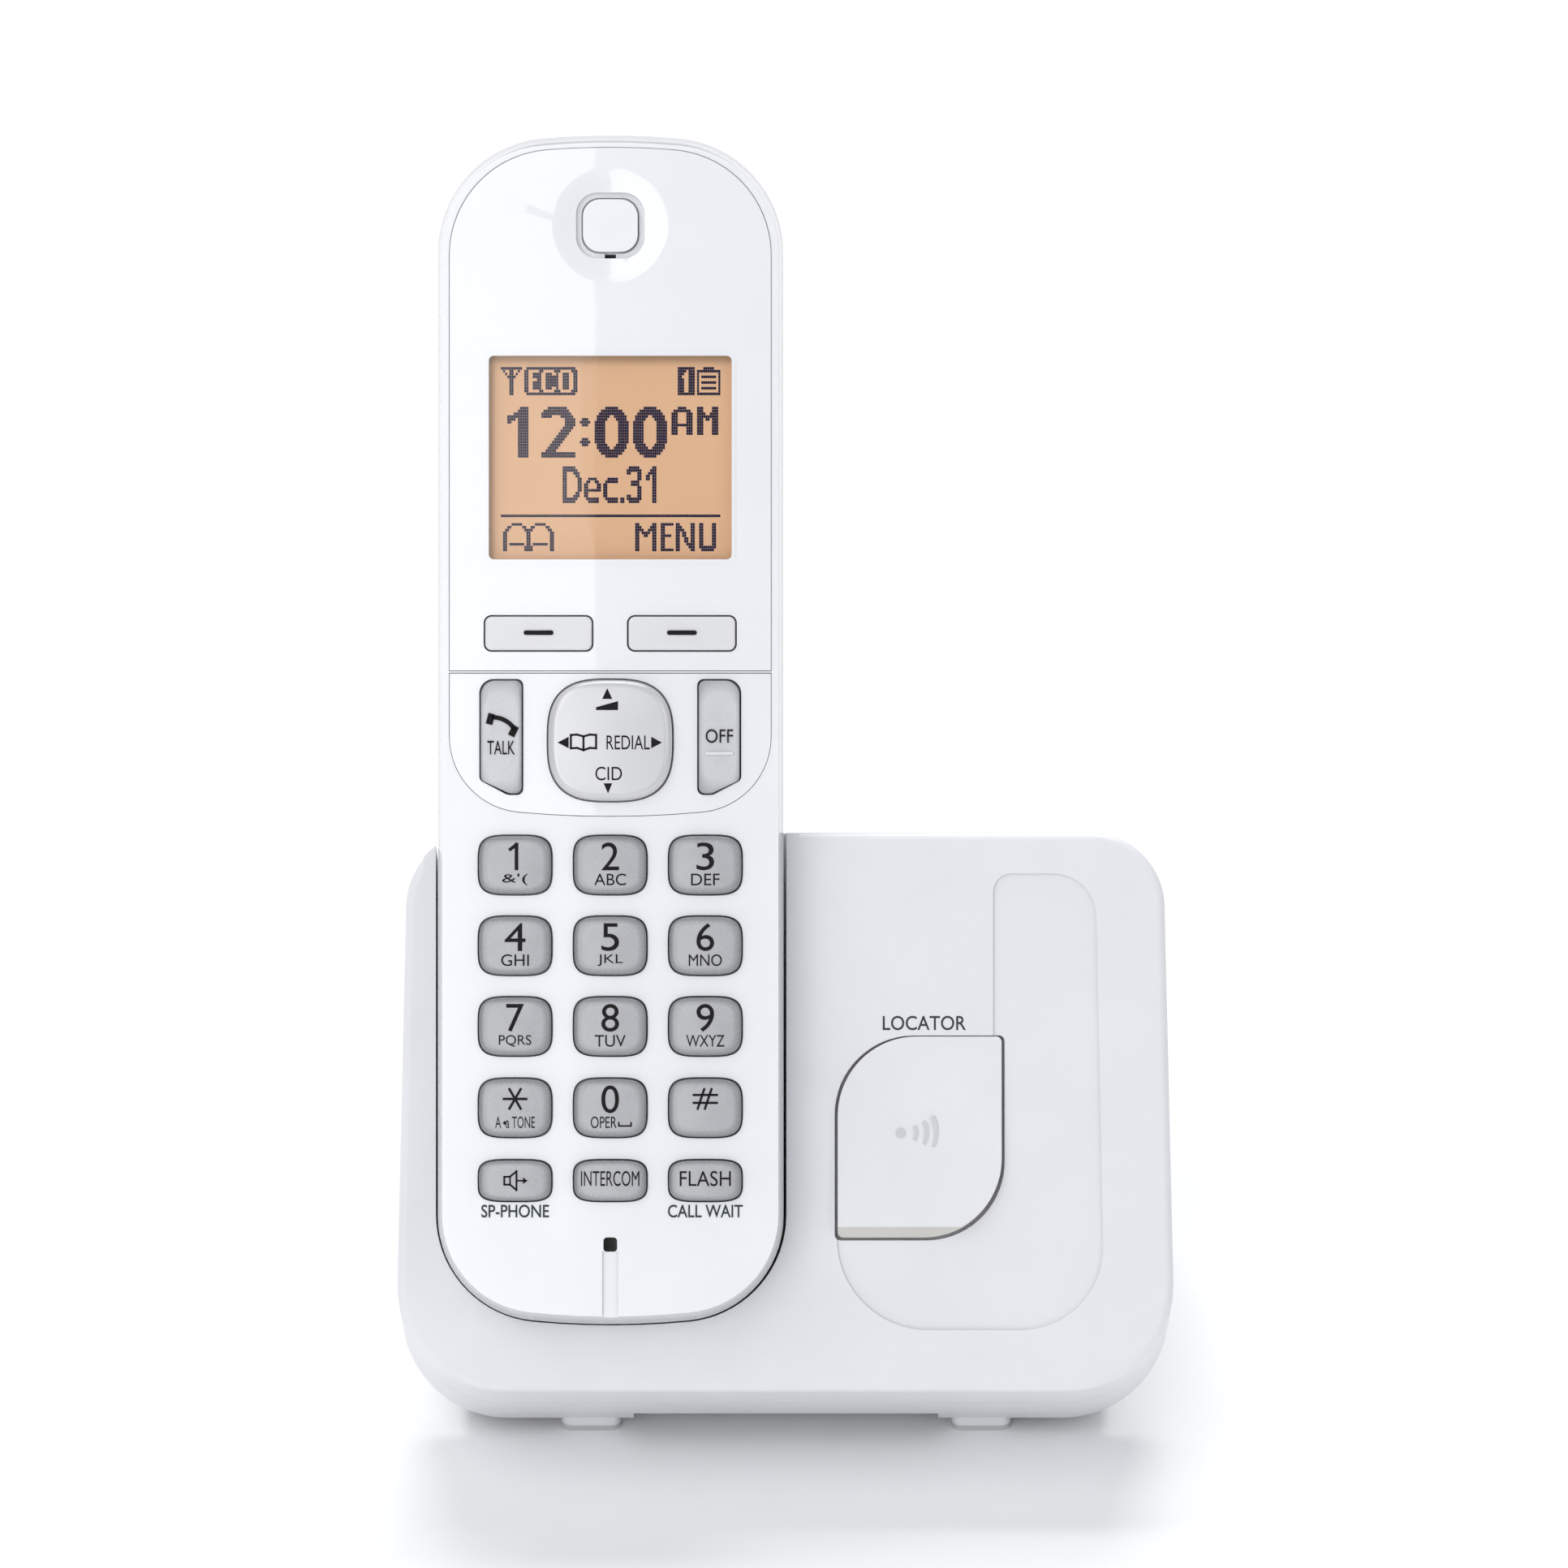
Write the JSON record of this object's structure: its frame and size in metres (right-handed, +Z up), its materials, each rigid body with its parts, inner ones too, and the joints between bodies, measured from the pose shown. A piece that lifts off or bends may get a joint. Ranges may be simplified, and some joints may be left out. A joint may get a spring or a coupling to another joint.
{
  "type": "cordless phone with base",
  "caption": "Cordless telephone handset with keypad and display, standing in a sloping charging base with a locator button.",
  "frame": {"origin": "middle of the bounding box, on the table under the base", "axes": "+Z up; the keypad and display look towards -Y and up; +X to the right of someone facing the keypad"},
  "size_m": [0.1084, 0.1034, 0.1731],
  "materials": {
    "case_white": "glossy white",
    "base_white": "satin white, fine texture",
    "window_gloss": "high gloss",
    "lens": "clear",
    "display_amber": "backlit amber",
    "key_grey": "translucent grey",
    "key_silver": "silver paint",
    "dark_plastic": "matte",
    "inner_plastic": "matte natural",
    "board_green": "solder mask",
    "tin": "tinned sheet",
    "contact_metal": "nickel plated",
    "antenna_brass": "sheet",
    "membrane_rubber": "translucent silicone",
    "pad_rubber": "soft foot",
    "cell_jacket": "printed jacket",
    "screw_steel": "zinc"
  },
  "bodies": {
    "base": {"base_upper_case": "base_white", "base_lower_case": "base_white", "base_circuit_board": "board_green", "base_shield_can": "tin", "base_antenna": "antenna_brass", "locator_switch": "dark_plastic", "charge_contact_left": "contact_metal", "charge_contact_right": "contact_metal", "charge_contact_carrier": "inner_plastic", "front_foot_pads": "pad_rubber", "rear_foot_pads": "pad_rubber", "base_screws": "screw_steel", "line_jack": "inner_plastic", "power_jack": "dark_plastic", "jack_board": "board_green"},
    "handset": {"battery_cell_left": "cell_jacket", "battery_cell_right": "cell_jacket", "battery_contact_high": "contact_metal", "battery_contact_low": "contact_metal", "display_holder": "inner_plastic", "display_lens": "lens", "display_panel": "display_amber", "earpiece_cap": "case_white", "earpiece_speaker": "dark_plastic", "function_plate": "case_white", "handset_antenna": "antenna_brass", "handset_charge_terminals": "contact_metal", "handset_circuit_board": "board_green", "handset_front_case": "case_white", "handset_rear_case": "case_white", "handset_screws": "screw_steel", "handset_shield_can": "tin", "keypad_mat": "membrane_rubber", "microphone": "tin", "microphone_boot": "pad_rubber", "ringer_speaker": "dark_plastic", "window_plate": "window_gloss"},
    "battery_cover": {"battery_cover": "case_white"},
    "locator_button": {"locator_button": "base_white"},
    "key_0": {"key_0": "key_grey"},
    "key_1": {"key_1": "key_grey"},
    "key_2": {"key_2": "key_grey"},
    "key_3": {"key_3": "key_grey"},
    "key_4": {"key_4": "key_grey"},
    "key_5": {"key_5": "key_grey"},
    "key_6": {"key_6": "key_grey"},
    "key_7": {"key_7": "key_grey"},
    "key_8": {"key_8": "key_grey"},
    "key_9": {"key_9": "key_grey"},
    "key_flash": {"key_flash": "key_grey"},
    "key_hash": {"key_hash": "key_grey"},
    "key_intercom": {"key_intercom": "key_grey"},
    "key_navigation": {"key_navigation": "key_silver"},
    "key_off": {"key_off": "key_silver"},
    "key_speaker": {"key_speaker": "key_grey"},
    "key_star": {"key_star": "key_grey"},
    "key_talk": {"key_talk": "key_silver"},
    "softkey_left": {"softkey_left": "key_silver"},
    "softkey_right": {"softkey_right": "key_silver"}
  },
  "joints": [
    {"name": "handset_lift", "type": "slide", "parent": "base", "child": "handset", "axis": [0, 0.5, 0.866], "range_m": [0, 0.12]},
    {"name": "battery_cover_slide", "type": "slide", "parent": "handset", "child": "battery_cover", "axis": [0, -0.5, -0.866], "range_m": [0, 0.007]},
    {"name": "locator_button_press", "type": "slide", "parent": "base", "child": "locator_button", "axis": [0, 0.866, -0.5], "range_m": [0, 0.0012], "stiffness_N_per_m": 900, "springref_m": -0.0012},
    {"name": "key_0_press", "type": "slide", "parent": "handset", "child": "key_0", "axis": [0, 0.866, -0.5], "range_m": [0, 0.0006], "stiffness_N_per_m": 900, "springref_m": -0.0012},
    {"name": "key_1_press", "type": "slide", "parent": "handset", "child": "key_1", "axis": [0, 0.866, -0.5], "range_m": [0, 0.0006], "stiffness_N_per_m": 900, "springref_m": -0.0012},
    {"name": "key_2_press", "type": "slide", "parent": "handset", "child": "key_2", "axis": [0, 0.866, -0.5], "range_m": [0, 0.0006], "stiffness_N_per_m": 900, "springref_m": -0.0012},
    {"name": "key_3_press", "type": "slide", "parent": "handset", "child": "key_3", "axis": [0, 0.866, -0.5], "range_m": [0, 0.0006], "stiffness_N_per_m": 900, "springref_m": -0.0012},
    {"name": "key_4_press", "type": "slide", "parent": "handset", "child": "key_4", "axis": [0, 0.866, -0.5], "range_m": [0, 0.0006], "stiffness_N_per_m": 900, "springref_m": -0.0012},
    {"name": "key_5_press", "type": "slide", "parent": "handset", "child": "key_5", "axis": [0, 0.866, -0.5], "range_m": [0, 0.0006], "stiffness_N_per_m": 900, "springref_m": -0.0012},
    {"name": "key_6_press", "type": "slide", "parent": "handset", "child": "key_6", "axis": [0, 0.866, -0.5], "range_m": [0, 0.0006], "stiffness_N_per_m": 900, "springref_m": -0.0012},
    {"name": "key_7_press", "type": "slide", "parent": "handset", "child": "key_7", "axis": [0, 0.866, -0.5], "range_m": [0, 0.0006], "stiffness_N_per_m": 900, "springref_m": -0.0012},
    {"name": "key_8_press", "type": "slide", "parent": "handset", "child": "key_8", "axis": [0, 0.866, -0.5], "range_m": [0, 0.0006], "stiffness_N_per_m": 900, "springref_m": -0.0012},
    {"name": "key_9_press", "type": "slide", "parent": "handset", "child": "key_9", "axis": [0, 0.866, -0.5], "range_m": [0, 0.0006], "stiffness_N_per_m": 900, "springref_m": -0.0012},
    {"name": "key_flash_press", "type": "slide", "parent": "handset", "child": "key_flash", "axis": [0, 0.866, -0.5], "range_m": [0, 0.0006], "stiffness_N_per_m": 900, "springref_m": -0.0012},
    {"name": "key_hash_press", "type": "slide", "parent": "handset", "child": "key_hash", "axis": [0, 0.866, -0.5], "range_m": [0, 0.0006], "stiffness_N_per_m": 900, "springref_m": -0.0012},
    {"name": "key_intercom_press", "type": "slide", "parent": "handset", "child": "key_intercom", "axis": [0, 0.866, -0.5], "range_m": [0, 0.0006], "stiffness_N_per_m": 900, "springref_m": -0.0012},
    {"name": "key_navigation_press", "type": "slide", "parent": "handset", "child": "key_navigation", "axis": [0, 0.866, -0.5], "range_m": [0, 0.0006], "stiffness_N_per_m": 900, "springref_m": -0.0012},
    {"name": "key_off_press", "type": "slide", "parent": "handset", "child": "key_off", "axis": [0, 0.866, -0.5], "range_m": [0, 0.0006], "stiffness_N_per_m": 900, "springref_m": -0.0012},
    {"name": "key_speaker_press", "type": "slide", "parent": "handset", "child": "key_speaker", "axis": [0, 0.866, -0.5], "range_m": [0, 0.0006], "stiffness_N_per_m": 900, "springref_m": -0.0012},
    {"name": "key_star_press", "type": "slide", "parent": "handset", "child": "key_star", "axis": [0, 0.866, -0.5], "range_m": [0, 0.0006], "stiffness_N_per_m": 900, "springref_m": -0.0012},
    {"name": "key_talk_press", "type": "slide", "parent": "handset", "child": "key_talk", "axis": [0, 0.866, -0.5], "range_m": [0, 0.0006], "stiffness_N_per_m": 900, "springref_m": -0.0012},
    {"name": "softkey_left_press", "type": "slide", "parent": "handset", "child": "softkey_left", "axis": [0, 0.866, -0.5], "range_m": [0, 0.0006], "stiffness_N_per_m": 900, "springref_m": -0.0012},
    {"name": "softkey_right_press", "type": "slide", "parent": "handset", "child": "softkey_right", "axis": [0, 0.866, -0.5], "range_m": [0, 0.0006], "stiffness_N_per_m": 900, "springref_m": -0.0012}
  ]
}
